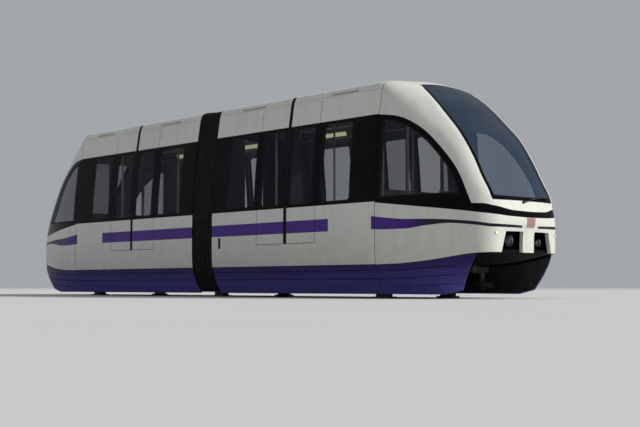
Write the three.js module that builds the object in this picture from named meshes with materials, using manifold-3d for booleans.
// Two-section straddle monorail car, hinged at the gangway in its middle.
// Millimetres. +X to the front nose, +Y to the left, +Z up, floor at Z = 0.
import * as THREE from 'three';
import { mergeVertices } from 'three/addons/utils/BufferGeometryUtils.js';
import Module from 'manifold-3d';

const wasm = await Module();
wasm.setup();

// Clearance left between two neighbouring pieces.
const FIT = 0.3;
// Places safely outside the skin, where the prisms that cut it end.
const BESIDE = 1400;
const ABOVE = 3400;
const AHEAD = 6600;
// Along the car, from the pivot: end of the section, start of the nose, seam before its shell.
const SECTION_END = 280;
const NOSE_START = 4000;
const PANEL_SEAM = 4130;
// How the side of the nose draws in: a long curve of this power, then this share of it in a last turn.
const DRAW_IN = { power: 2.2, turnShare: 0.14 };

// Outer skin of one section, level by level. half: half width of the straight side. edgeX, edgeY: the
// corner between side and face, which is the crest of the hoop beside the windscreen. round: length of
// the last turn of the side before that corner. tip: reach of the face on the centre line.
const SHAPE = [
  { z: 60, half: 940, edgeX: 5850, edgeY: 625, round: 260, tip: 5890 },
  { z: 150, half: 1005, edgeX: 5895, edgeY: 660, round: 260, tip: 5935 },
  { z: 260, half: 1062, edgeX: 5925, edgeY: 688, round: 260, tip: 5965 },
  { z: 375, half: 1105, edgeX: 5942, edgeY: 712, round: 260, tip: 5982 },
  { z: 490, half: 1134, edgeX: 5950, edgeY: 727, round: 260, tip: 5990 },
  { z: 680, half: 1149, edgeX: 5955, edgeY: 735, round: 260, tip: 5998 },
  { z: 870, half: 1152, edgeX: 5960, edgeY: 735, round: 260, tip: 6005 },
  { z: 960, half: 1152, edgeX: 5963, edgeY: 732, round: 260, tip: 6022 },
  { z: 1060, half: 1152, edgeX: 5963, edgeY: 729, round: 260, tip: 6055 },
  { z: 1200, half: 1151, edgeX: 5948, edgeY: 722, round: 250, tip: 6048 },
  { z: 1320, half: 1150, edgeX: 5915, edgeY: 715, round: 230, tip: 6003 },
  { z: 1390, half: 1148, edgeX: 5890, edgeY: 712, round: 200, tip: 5968 },
  { z: 1460, half: 1146, edgeX: 5865, edgeY: 710, round: 180, tip: 5942 },
  { z: 1680, half: 1135, edgeX: 5738, edgeY: 718, round: 150, tip: 5822 },
  { z: 1940, half: 1118, edgeX: 5600, edgeY: 710, round: 140, tip: 5682 },
  { z: 2310, half: 1083, edgeX: 5360, edgeY: 712, round: 220, tip: 5440 },
  { z: 2610, half: 1050, edgeX: 5082, edgeY: 690, round: 300, tip: 5158 },
  { z: 2870, half: 1012, edgeX: 4820, edgeY: 665, round: 380, tip: 4895 },
  { z: 3040, half: 985, edgeX: 4610, edgeY: 625, round: 400, tip: 4692 },
  { z: 3110, half: 965, edgeX: 4512, edgeY: 585, round: 350, tip: 4602 },
  { z: 3165, half: 932, edgeX: 4412, edgeY: 545, round: 260, tip: 4502 },
  { z: 3200, half: 862, edgeX: 4300, edgeY: 520, round: 180, tip: 4430 },
  { z: 3225, half: 745, edgeX: 4200, edgeY: 480, round: 120, tip: 4350 },
  { z: 3248, half: 560, edgeX: 4120, edgeY: 400, round: 75, tip: 4260 },
  { z: 3262, half: 360, edgeX: 4070, edgeY: 290, round: 45, tip: 4180 },
  { z: 3270, half: 170, edgeX: 4038, edgeY: 145, round: 25, tip: 4100 },
  { z: 3272, half: 60, edgeX: 4015, edgeY: 52, round: 12, tip: 4050 },
];

// Lower edge of the pale body, which rises a little toward the nose.
const LOWER_EDGE = [
  { x: 4130, z: 490 },
  { x: 4600, z: 500 },
  { x: 5000, z: 530 },
  { x: 5300, z: 568 },
  { x: 5580, z: 610 },
  { x: 5800, z: 635 },
  { x: 6000, z: 640 },
  { x: 6300, z: 640 },
];

const WALL = { thick: 60, low: 490, high: 3070 };
const DOOR = { from: 1455, middle: 2155, to: 2855, low: 840, high: 3030, thick: 45 };
const WINDOW = { low: 1440, high: 2650, corner: 70 };
const SIDE_WINDOWS = [
  { from: 650, to: 1400 },
  { from: 2950, to: 3610 },
];
const DOOR_LEAVES = [
  { name: 'inner', from: DOOR.from + FIT, to: DOOR.middle - FIT / 2, glassFrom: 1535, glassTo: 2090 },
  { name: 'outer', from: DOOR.middle + FIT / 2, to: DOOR.to - FIT, glassFrom: 2220, glassTo: 2775 },
];
// Opening of the cab's side window, under the arch of the hoop.
const CAB_WINDOW = [
  [4210, 1450], [5530, 1450], [5465, 1630], [5365, 1800], [5225, 1980],
  [5040, 2180], [4860, 2340], [4640, 2480], [4450, 2560], [4210, 2600],
];
// Opening of the windscreen seen from ahead: y and z of its left edge, upward. It is open at the top,
// where the plane x = back ends it.
const WINDSCREEN = {
  back: 4490,
  edge: [
    [660, 1368], [672, 1400], [680, 1680], [672, 1940], [674, 2310],
    [652, 2610], [627, 2870], [587, 3040], [520, 3150], [520, 3400],
  ],
};

const FLOOR = { low: 814, high: 860, from: 340, to: 5683 };
const SKIRT = { low: 60, thick: 25, frontTop: 5780, frontLow: 5500, frontLowZ: 120, straightTo: 5200 };
const SILL = { inner: 940, outer: 1020, low: 560, to: 4300 };
const CROSS_MEMBERS = [1500, 2500];

// Recess of a headlamp, in y and z: its outer edge leans out by `lean` for each mm down. In the nose it is
// open at the bottom; in the tray behind, it has a floor.
const LAMP_RECESS = { inner: 125, outerTop: 480, lean: 0.27, low: 560, floor: 690, high: 930, back: 5800 };
const LAMP_TRAY = { from: 5684, low: 645, high: 1010 };
const DESK = { from: 5100, inset: 75, height: 1380, cowlHeight: 1400 };

// Doorway of the wall at the gangway.
const DOORWAY = { half: 480, low: 780, high: 2800, corner: 90 };

// Profile of a bench, from its front edge back, with its foot drawn in.
const BENCH = [
  { depth: 70, z: 860.3 },
  { depth: 70, z: 1170 },
  { depth: 5, z: 1210 },
  { depth: 0, z: 1265 },
  { depth: 35, z: 1290 },
  { depth: 335, z: 1272 },
  { depth: 385, z: 1420 },
  { depth: 395, z: 1620 },
  { depth: 430, z: 1620 },
  { depth: 430, z: 860.3 },
];
const SIDE_BENCH = { y: 560, from: 3000, to: 3600 };
const CROSS_BENCH = { x: 3530, half: 1000 };

const BOGIES = [
  { name: 'front', x: 3900 },
  { name: 'middle', x: 0 },
  { name: 'rear', x: -3900 },
];
// Boxes of the left half of a bogie frame.
const BOGIE_BOXES = [
  { part: 'bearer', x: [-620, 620], y: [270, 350], z: [380, 660] },
  { part: 'end beam', x: [-890, 890], y: [270, 350], z: [380, 480] },
  { part: 'side arm', x: [-130, 130], y: [340, 780], z: [470, 560] },
  { part: 'leg', x: [-110, 110], y: [650, 780], z: [15, 480] },
  { part: 'foot', x: [-160, 160], y: [620, 800], z: [0, 25] },
];
const CROSS_BEAM = { x: [285, 420], half: 345, z: [480, 750] };
const GUIDE_ARM = { half: 70, y: [340, 650], z: [380, 470] };
const TYRE = { radius: 230, axleHeight: 570, inner: 30, outer: 190, hub: 120, roundDown: 18, roundIn: 22 };
const AXLE = { radius: 45, shoulder: 75, half: 400, bearer: 270 };
const RING = { outer: 430, inner: 330, low: 742, high: 772 };
const HINGE_RING = { outer: 440, inner: 300, frontTop: 806, rearTop: 842 };
const HINGE_ARM = { half: 300, from: 400, upFrom: 480, frontTo: 900, rearTo: 700, low: 780 };
const GANGWAY_PLATE = { radius: 520, to: 530, half: 430, low: 868, high: 880, packFrom: 464 };
const GUIDE = { radius: 170, x: 800, y: 570, low: 150, high: 245, bore: 26.5, round: 8 };
const GUIDE_PIN = { radius: 26, collar: 48, low: 130, cap: 126, top: 400 };
const GUIDE_WHEELS = [
  { name: 'front_left', x: 1, y: 1 },
  { name: 'front_right', x: 1, y: -1 },
  { name: 'rear_left', x: -1, y: 1 },
  { name: 'rear_right', x: -1, y: -1 },
];

const FINISH = {
  pale: { color: 0xc9ccc4, roughness: 0.4, metalness: 0.1 },
  purple: { color: 0x3b3160, roughness: 0.4, metalness: 0.1 },
  black: { color: 0x111214, roughness: 0.7, metalness: 0 },
  glass: { color: 0x27303c, roughness: 0.1, metalness: 0 },
  steel: { color: 0x5c6066, roughness: 0.6, metalness: 0.5 },
  rubber: { color: 0x17181a, roughness: 0.9, metalness: 0 },
  seat: { color: 0x39405a, roughness: 0.9, metalness: 0 },
};

// Geometry to solid and back.
function solid(geometry) {
  const flat = geometry.index ? geometry.toNonIndexed() : geometry;
  const bare = new THREE.BufferGeometry();
  bare.setAttribute('position', flat.getAttribute('position').clone());
  const merged = mergeVertices(bare, 1e-3);
  return new wasm.Manifold(new wasm.Mesh({
    numProp: 3,
    vertProperties: new Float32Array(merged.attributes.position.array),
    triVerts: new Uint32Array(merged.index.array),
  }));
}

function meshOf(name, body, finish) {
  const result = body.getMesh();
  const geometry = new THREE.BufferGeometry();
  geometry.setAttribute('position', new THREE.BufferAttribute(new Float32Array(result.vertProperties), 3));
  geometry.setIndex(new THREE.BufferAttribute(new Uint32Array(result.triVerts), 1));
  const mesh = new THREE.Mesh(geometry, new THREE.MeshStandardMaterial(finish));
  mesh.name = name;
  return mesh;
}

function union(list) {
  return list.reduce((sum, next) => sum.add(next));
}

// Prisms. An outline is a list of [a, b] pairs.
function extrude(outline, depth, matrix) {
  const shape = new THREE.Shape(outline.map(([a, b]) => new THREE.Vector2(a, b)));
  const geometry = new THREE.ExtrudeGeometry(shape, { depth, bevelEnabled: false });
  geometry.applyMatrix4(matrix);
  return solid(geometry);
}

function acrossY(outline, y0, y1) {
  const turn = new THREE.Matrix4().makeBasis(
    new THREE.Vector3(1, 0, 0), new THREE.Vector3(0, 0, 1), new THREE.Vector3(0, -1, 0));
  turn.setPosition(0, y1, 0);
  return extrude(outline, y1 - y0, turn);
}

function alongX(outline, x0, x1) {
  const turn = new THREE.Matrix4().makeBasis(
    new THREE.Vector3(0, 1, 0), new THREE.Vector3(0, 0, 1), new THREE.Vector3(1, 0, 0));
  turn.setPosition(x0, 0, 0);
  return extrude(outline, x1 - x0, turn);
}

function box(x0, x1, y0, y1, z0, z1) {
  const geometry = new THREE.BoxGeometry(x1 - x0, y1 - y0, z1 - z0);
  geometry.translate((x0 + x1) / 2, (y0 + y1) / 2, (z0 + z1) / 2);
  return solid(geometry);
}

function roundBar(radius, z0, z1, steps = 32) {
  const geometry = new THREE.CylinderGeometry(radius, radius, z1 - z0, steps);
  geometry.rotateX(Math.PI / 2);
  geometry.translate(0, 0, (z0 + z1) / 2);
  return solid(geometry);
}

function ring(outer, inner, z0, z1, steps = 28) {
  return roundBar(outer, z0, z1, steps).subtract(roundBar(inner, z0 - 5, z1 + 5, steps));
}

function rounded(a0, b0, a1, b1, r, steps = 4) {
  const corners = [[a1 - r, b0 + r, -90], [a1 - r, b1 - r, 0], [a0 + r, b1 - r, 90], [a0 + r, b0 + r, 180]];
  const points = [];
  for (const [a, b, start] of corners) {
    for (let i = 0; i <= steps; i += 1) {
      const angle = (start + (90 * i) / steps) * Math.PI / 180;
      points.push([a + r * Math.cos(angle), b + r * Math.sin(angle)]);
    }
  }
  return points;
}

// Moves a line of [a, b] points by `by` along its own right-hand normal.
function offsetLine(points, by) {
  return points.map((point, i) => {
    const before = points[Math.max(0, i - 1)];
    const after = points[Math.min(points.length - 1, i + 1)];
    const da = after[0] - before[0];
    const db = after[1] - before[1];
    const length = Math.hypot(da, db);
    return [point[0] - by * db / length, point[1] + by * da / length];
  });
}

function interpolate(points, height) {
  // points: [value, height] with height rising
  if (height <= points[0][1]) return points[0][0];
  for (let i = 1; i < points.length; i += 1) {
    if (height <= points[i][1]) {
      const share = (height - points[i - 1][1]) / (points[i][1] - points[i - 1][1]);
      return points[i - 1][0] + share * (points[i][0] - points[i - 1][0]);
    }
  }
  return points[points.length - 1][0];
}

// Levels of the section's skin moved inward by `inset`.
function levels(inset) {
  const side = offsetLine(SHAPE.map((row) => [row.half, row.z]), inset);
  const top = SHAPE[SHAPE.length - 1];
  side[side.length - 1] = [top.half - 10, top.z - inset];
  const tips = offsetLine(SHAPE.map((row) => [row.tip, row.z]), inset);
  const edges = offsetLine(SHAPE.map((row) => [row.edgeX, row.z]), inset);
  const crests = SHAPE.map((row) => [row.edgeY - 0.6 * inset, row.z]);
  const rounds = SHAPE.map((row) => [row.round, row.z]);
  return side.map(([half, z]) => {
    const edgeX = Math.max(interpolate(edges, z), NOSE_START + 12);
    return {
      z,
      half,
      edgeX,
      edgeY: Math.min(interpolate(crests, z), half - 8),
      round: Math.min(interpolate(rounds, z), edgeX - NOSE_START - 3),
      tip: Math.max(interpolate(tips, z), edgeX + 8),
    };
  });
}

// Half width at x of the side at one level.
function sideY(row, x) {
  const reach = row.half - row.edgeY;
  const turn = DRAW_IN.turnShare * reach;
  const along = (x - NOSE_START) / (row.edgeX - NOSE_START);
  const inTurn = Math.max(0, (x - row.edgeX + row.round) / row.round);
  return row.half - (reach - turn) * along ** DRAW_IN.power - turn * inTurn ** 2;
}

// Plan of one level, from the right rear round the nose to the left rear.
const FINE = { side: 4, turn: 3, face: 3 };
const COARSE = { side: 2, turn: 2, face: 2 };
function planRing(row, end, steps) {
  const turnFrom = row.edgeX - row.round;
  const half = [[end, row.half], [NOSE_START, row.half]];
  for (let i = 1; i <= steps.side; i += 1) {
    const x = NOSE_START + ((turnFrom - NOSE_START) * i) / steps.side;
    half.push([x, sideY(row, x)]);
  }
  for (let i = 1; i <= steps.turn; i += 1) {
    const x = turnFrom + (row.round * i) / steps.turn;
    half.push([x, sideY(row, x)]);
  }
  for (let i = 1; i <= steps.face; i += 1) {
    const share = 1 - i / steps.face;
    half.push([row.edgeX + (row.tip - row.edgeX) * (1 - share ** 2), row.edgeY * share]);
  }
  const right = half.map(([x, y]) => [x, -y]);
  return [...right, ...half.slice(0, -1).reverse()];
}

// Closed solid inside the skin moved inward by `inset`.
// The room side of a wall, 40 mm in or more, has fewer rows than the outside.
function sectionSolid(inset, end, low) {
  const coarse = inset >= 40;
  const last = SHAPE.length - 1;
  const rows = levels(inset).filter((row, i) => !coarse || i % 2 === 0 || i === last);
  const steps = coarse ? COARSE : FINE;
  if (low !== undefined) rows.unshift({ ...rows[0], z: low });
  const rings = rows.map((row) => planRing(row, end, steps).map(([x, y]) => [x, y, row.z]));
  const count = rings[0].length;
  const positions = rings.flat(2);
  const index = [];
  for (let j = 0; j + 1 < rings.length; j += 1) {
    for (let i = 0; i < count; i += 1) {
      const next = (i + 1) % count;
      const a = j * count + i;
      const b = j * count + next;
      const c = (j + 1) * count + next;
      const d = (j + 1) * count + i;
      index.push(a, b, c, a, c, d);
    }
  }
  const top = (rings.length - 1) * count;
  for (let i = 1; i + 1 < count; i += 1) {
    index.push(0, i + 1, i);
    index.push(top, top + i, top + i + 1);
  }
  const geometry = new THREE.BufferGeometry();
  geometry.setAttribute('position', new THREE.BufferAttribute(new Float32Array(positions), 3));
  geometry.setIndex(index);
  return solid(geometry);
}

const outerSolid = sectionSolid(0, SECTION_END);
const cores = new Map();
function core(inset) {
  if (!cores.has(inset)) cores.set(inset, sectionSolid(inset, SECTION_END - 100, -100));
  return cores.get(inset);
}
function shell(thick) {
  return outerSolid.subtract(core(thick));
}
function layer(from, to) {
  return core(from).intersect(outerSolid).subtract(core(to));
}

const SIDES = [{ name: 'left', sign: 1 }, { name: 'right', sign: -1 }];
function sidePrism(side, outline) {
  return side.sign > 0 ? acrossY(outline, 250, BESIDE) : acrossY(outline, -BESIDE, -250);
}
function rect(x0, z0, x1, z1) {
  return [[x0, z0], [x1, z0], [x1, z1], [x0, z1]];
}

// Points of the lower edge from x0 to x1, moved up by `lift`.
function lowerEdge(x0, x1, lift) {
  const table = LOWER_EDGE.map((row) => [row.z, row.x]);
  const between = LOWER_EDGE.filter((row) => row.x > x0 && row.x < x1).map((row) => [row.x, row.z + lift]);
  return [[x0, interpolate(table, x0) + lift], ...between, [x1, interpolate(table, x1) + lift]];
}

function windscreenOpening(grow) {
  const edge = WINDSCREEN.edge.map(([y, z], i) => [y - grow, i === 0 ? z + grow : z]);
  const right = edge.map(([y, z]) => [-y, z]).reverse();
  return alongX([...right, ...edge], WINDSCREEN.back + grow, AHEAD);
}

function lampOpening(side, from, low) {
  const { inner, outerTop, lean, high } = LAMP_RECESS;
  const outerLow = outerTop + lean * (high - low);
  const outline = [[inner, low], [outerLow, low], [outerTop, high], [inner, high]]
    .map(([y, z]) => [side.sign * y, z]);
  return alongX(outline, from, AHEAD);
}

function buildRoof() {
  return shell(WALL.thick)
    .intersect(box(SECTION_END, PANEL_SEAM - FIT, -BESIDE, BESIDE, WALL.high + FIT, ABOVE));
}

function buildSideWall(side) {
  const outline = rect(SECTION_END, WALL.low, PANEL_SEAM - FIT, WALL.high);
  let wall = shell(WALL.thick).intersect(sidePrism(side, outline));
  wall = wall.subtract(sidePrism(side, rect(DOOR.from, DOOR.low, DOOR.to, DOOR.high)));
  for (const { from, to } of SIDE_WINDOWS) {
    wall = wall.subtract(sidePrism(side, rounded(from, WINDOW.low, to, WINDOW.high, WINDOW.corner)));
  }
  return wall;
}

function buildDoorLeaf(side, leaf) {
  const outline = rect(leaf.from, DOOR.low + FIT, leaf.to, DOOR.high - FIT);
  const pane = rounded(leaf.glassFrom, WINDOW.low, leaf.glassTo, WINDOW.high, WINDOW.corner);
  return shell(DOOR.thick).intersect(sidePrism(side, outline)).subtract(sidePrism(side, pane));
}

function buildSkirt(side) {
  const top = lowerEdge(PANEL_SEAM, SKIRT.frontTop, -FIT);
  const outline = [
    [SECTION_END, SKIRT.low], [SKIRT.straightTo, SKIRT.low], [SKIRT.frontLow, SKIRT.frontLowZ],
    ...top.reverse(), [SECTION_END, WALL.low - FIT],
  ];
  return shell(SKIRT.thick).intersect(sidePrism(side, outline));
}

function buildNoseShell() {
  const low = lowerEdge(PANEL_SEAM, AHEAD, 0);
  const outline = [...low, [AHEAD, ABOVE], [PANEL_SEAM, ABOVE]];
  let nose = shell(WALL.thick).intersect(acrossY(outline, -BESIDE, BESIDE));
  for (const side of SIDES) {
    nose = nose.subtract(sidePrism(side, CAB_WINDOW));
    nose = nose.subtract(lampOpening(side, LAMP_TRAY.from, LAMP_RECESS.low));
  }
  return nose.subtract(windscreenOpening(0));
}

function buildWindscreen() {
  return layer(4, 16).intersect(windscreenOpening(FIT));
}

// Floor plate with side sills, cross members and the ring that rests above the bogie.
function buildUnderframe() {
  const inside = core(WALL.thick + FIT);
  const joined = FLOOR.low + 10;
  const parts = [
    box(FLOOR.from, FLOOR.to, -BESIDE, BESIDE, FLOOR.low, FLOOR.high),
    ring(RING.outer, RING.inner, RING.high + FIT, joined).translate(BOGIES[0].x, 0, 0),
  ];
  for (const { sign } of SIDES) {
    const [y0, y1] = sign > 0 ? [SILL.inner, SILL.outer] : [-SILL.outer, -SILL.inner];
    parts.push(box(SECTION_END, SILL.to, y0, y1, SILL.low, joined));
  }
  for (const x of CROSS_MEMBERS) {
    parts.push(box(x, x + 120, -SILL.inner - 10, SILL.inner + 10, SILL.low + 80, joined));
  }
  return union(parts).intersect(inside).subtract(roundBar(HINGE_RING.outer + 20, 700, 900));
}

function buildGangwayFrame() {
  const plate = box(SECTION_END + 4, FLOOR.from - 2, -BESIDE, BESIDE, FLOOR.high + FIT, ABOVE);
  const { half, low, high, corner } = DOORWAY;
  const doorway = alongX(rounded(-half, low, half, high, corner), 200, 400);
  return core(WALL.thick + FIT).intersect(plate).subtract(doorway);
}

// Two benches along the sides, joined by one across the car behind the cab.
function buildSeats() {
  const cross = BENCH.map(({ depth, z }) => [CROSS_BENCH.x + depth, z]);
  const parts = [acrossY(cross, -CROSS_BENCH.half, CROSS_BENCH.half)];
  for (const { sign } of SIDES) {
    const outline = BENCH.map(({ depth, z }) => [sign * (SIDE_BENCH.y + depth), z]);
    parts.push(alongX(outline, SIDE_BENCH.from, SIDE_BENCH.to));
  }
  return union(parts);
}

// Driver's desk, with its upper part carried forward under the windscreen.
function buildDesk() {
  const body = box(DESK.from, LAMP_TRAY.from - FIT, -BESIDE, BESIDE, FLOOR.high + FIT, DESK.height);
  const cowl = box(LAMP_TRAY.from - 10, AHEAD, -BESIDE, BESIDE, LAMP_TRAY.high + FIT, DESK.cowlHeight);
  return core(DESK.inset).intersect(body.add(cowl));
}

// Block behind the face of the nose, with the two pockets of the headlamps.
function buildLampTray() {
  const block = box(LAMP_TRAY.from, AHEAD, -BESIDE, BESIDE, LAMP_TRAY.low, LAMP_TRAY.high);
  let tray = core(WALL.thick + FIT).intersect(block);
  for (const side of SIDES) tray = tray.subtract(lampOpening(side, LAMP_RECESS.back, LAMP_RECESS.floor));
  return tray;
}

function buildSection() {
  const pieces = [
    ['roof', buildRoof(), FINISH.pale],
    ['nose_shell', buildNoseShell(), FINISH.pale],
    ['windscreen', buildWindscreen(), FINISH.glass],
    ['underframe', buildUnderframe(), FINISH.steel],
    ['gangway_frame', buildGangwayFrame(), FINISH.black],
    ['seats', buildSeats(), FINISH.seat],
    ['drivers_desk', buildDesk(), FINISH.black],
    ['lamp_tray', buildLampTray(), FINISH.black],
  ];
  for (const side of SIDES) {
    pieces.push([`side_wall_${side.name}`, buildSideWall(side), FINISH.pale]);
    pieces.push([`skirt_${side.name}`, buildSkirt(side), FINISH.purple]);
    for (const leaf of DOOR_LEAVES) {
      pieces.push([`door_${side.name}_${leaf.name}`, buildDoorLeaf(side, leaf), FINISH.pale]);
    }
  }
  return pieces;
}

// Closed loop lofted through stations along X. Each station: x and a list of [y, z].
function loftAlongX(stations) {
  const count = stations[0].loop.length;
  const positions = [];
  for (const { x, loop } of stations) for (const [y, z] of loop) positions.push(x, y, z);
  const index = [];
  for (let j = 0; j + 1 < stations.length; j += 1) {
    for (let i = 0; i < count; i += 1) {
      const next = (i + 1) % count;
      const a = j * count + i;
      const b = j * count + next;
      const c = a + count;
      const d = b + count;
      index.push(a, b, d, a, d, c);
    }
  }
  const cap = (j) => THREE.ShapeUtils.triangulateShape(
    stations[j].loop.map(([y, z]) => new THREE.Vector2(y, z)), []).map((t) => t.map((k) => k + j * count));
  for (const t of cap(0)) index.push(t[0], t[2], t[1]);
  for (const t of cap(stations.length - 1)) index.push(t[0], t[1], t[2]);
  const geometry = new THREE.BufferGeometry();
  geometry.setAttribute('position', new THREE.BufferAttribute(new Float32Array(positions), 3));
  geometry.setIndex(index);
  return solid(geometry);
}

// Arch of the bellows, open at the bottom, its outside `inset` behind the skin.
function bellowsLoop(inset, thick) {
  const arch = (by) => {
    const rows = levels(by).filter((row, i) => row.z > 100 && i % 2 === 1);
    const half = [{ z: 90, half: interpolate(levels(by).map((row) => [row.half, row.z]), 90) }, ...rows];
    const right = half.map((row) => [-row.half, row.z]);
    const left = half.map((row) => [row.half, row.z]).reverse();
    return [...right, ...left];
  };
  // Counter-clockwise seen from +X: the outside from left to right, then back along the inside.
  return [...arch(inset).reverse(), ...arch(inset + thick)];
}

function buildBellows() {
  const folds = 7;
  const half = SECTION_END - FIT;
  const stations = [];
  for (let i = 0; i <= 2 * folds; i += 1) {
    stations.push({ x: -half + (half * i) / folds, loop: bellowsLoop(i % 2 === 0 ? 62 : 22, 34) });
  }
  return loftAlongX(stations);
}

// Tread plate over the gap, fixed to the front floor and free over the rear one.
function buildGangwayPlate() {
  const { radius, to, half, low, high, packFrom } = GANGWAY_PLATE;
  const round = roundBar(radius, low, high).add(box(0, to, -half, half, low, high));
  const plate = round.intersect(box(-radius, to, -half, half, low, high));
  return plate.add(box(packFrom, to, -half, half, FLOOR.high + FIT, low + 2));
}

// A stretch of one axis on the positive or the negative side.
function spread(sign, a, b) {
  return sign > 0 ? [a, b] : [-b, -a];
}

// Frame of a bogie: bearers and cross beams round the tyres, arms with the guide wheels' pins, and the
// two feet that it stands on when it is off its beam.
function buildBogie() {
  const parts = [ring(RING.outer, RING.inner, RING.low, RING.high)];
  for (const { sign } of SIDES) {
    for (const { x, y, z } of BOGIE_BOXES) parts.push(box(...x, ...spread(sign, ...y), ...z));
    parts.push(box(...spread(sign, ...CROSS_BEAM.x), -CROSS_BEAM.half, CROSS_BEAM.half, ...CROSS_BEAM.z));
  }
  for (const wheel of GUIDE_WHEELS) {
    const x = wheel.x * GUIDE.x;
    const y = wheel.y * GUIDE.y;
    const { radius, collar, low, cap, top } = GUIDE_PIN;
    const arm = spread(wheel.y, ...GUIDE_ARM.y);
    parts.push(box(x - GUIDE_ARM.half, x + GUIDE_ARM.half, ...arm, ...GUIDE_ARM.z));
    // Fixed pin, with a collar above the wheel and a cap below it.
    parts.push(roundBar(radius, low, top, 10).translate(x, y, 0));
    parts.push(roundBar(collar, cap, GUIDE.low - FIT, 10).translate(x, y, 0));
    parts.push(roundBar(collar, GUIDE.high + FIT, top, 10).translate(x, y, 0));
  }
  const bore = new THREE.CylinderGeometry(AXLE.radius + 0.5, AXLE.radius + 0.5, 900, 28);
  return union(parts).subtract(solid(bore).translate(0, 0, TYRE.axleHeight));
}

// Axle with its twin tyres: one lathe profile of radius and y.
function buildAxle() {
  const { radius, inner, outer, hub, roundDown, roundIn } = TYRE;
  const side = [
    [hub, inner], [radius - roundDown, inner], [radius, inner + roundIn],
    [radius, outer - roundIn], [radius - roundDown, outer],
    [AXLE.shoulder, outer], [AXLE.shoulder, AXLE.bearer - FIT],
    [AXLE.radius, AXLE.bearer - FIT], [AXLE.radius, AXLE.half], [0, AXLE.half],
  ];
  const mirrored = side.map(([r, y]) => [r, -y]).reverse();
  const profile = [...mirrored, ...side].map(([r, y]) => new THREE.Vector2(r, y));
  return solid(new THREE.LatheGeometry(profile, 28)).translate(0, 0, TYRE.axleHeight);
}

function buildGuideWheel() {
  const { radius, low, high, bore, round } = GUIDE;
  const profile = [
    [bore, low], [radius - round, low], [radius, low + round],
    [radius, high - round], [radius - round, high], [bore, high], [bore, low],
  ].map(([r, z]) => new THREE.Vector2(r, z));
  return solid(new THREE.LatheGeometry(profile, 22).rotateX(Math.PI / 2));
}

// Rings of the articulation round the pivot: the lower one belongs to the front section, the upper one
// to the rear section.
function buildHinge() {
  const { outer, inner, frontTop, rearTop } = HINGE_RING;
  const { half, from, upFrom, frontTo, rearTo, low } = HINGE_ARM;
  const around = roundBar(outer - 8, 700, 900);
  return {
    front: union([
      ring(outer, inner, RING.high + FIT, frontTop),
      box(from, frontTo, -half, half, low, frontTop).subtract(around),
      box(upFrom, frontTo, -half, half, low, FLOOR.low + 6),
    ]),
    rear: union([
      ring(outer, inner, frontTop + FIT, rearTop),
      box(from, rearTo, -half, half, FLOOR.low + 1, rearTop).subtract(around),
    ]),
  };
}

const car = new THREE.Group();
car.name = 'monorail_car';

function swapSides(name) {
  return name.replace(/left|right/, (side) => (side === 'left' ? 'right' : 'left'));
}

// The rear section is the front one turned about the pivot.
const hinge = buildHinge();
for (const [name, body, finish] of buildSection()) {
  const isFloor = name === 'underframe';
  const rear = (isFloor ? body.add(hinge.rear) : body).rotate([0, 0, 180]);
  car.add(meshOf(`front_${name}`, isFloor ? body.add(hinge.front) : body, finish));
  car.add(meshOf(`rear_${swapSides(name)}`, rear, finish));
}

car.add(meshOf('bellows', buildBellows(), FINISH.black));
car.add(meshOf('gangway_plate', buildGangwayPlate(), FINISH.steel));

for (const { name, x } of BOGIES) {
  car.add(meshOf(`bogie_${name}`, buildBogie().translate(x, 0, 0), FINISH.steel));
  car.add(meshOf(`axle_${name}`, buildAxle().translate(x, 0, 0), FINISH.rubber));
  for (const wheel of GUIDE_WHEELS) {
    const body = buildGuideWheel().translate(x + wheel.x * GUIDE.x, wheel.y * GUIDE.y, 0);
    car.add(meshOf(`guide_${name}_${wheel.name}`, body, FINISH.rubber));
  }
}

export default car;
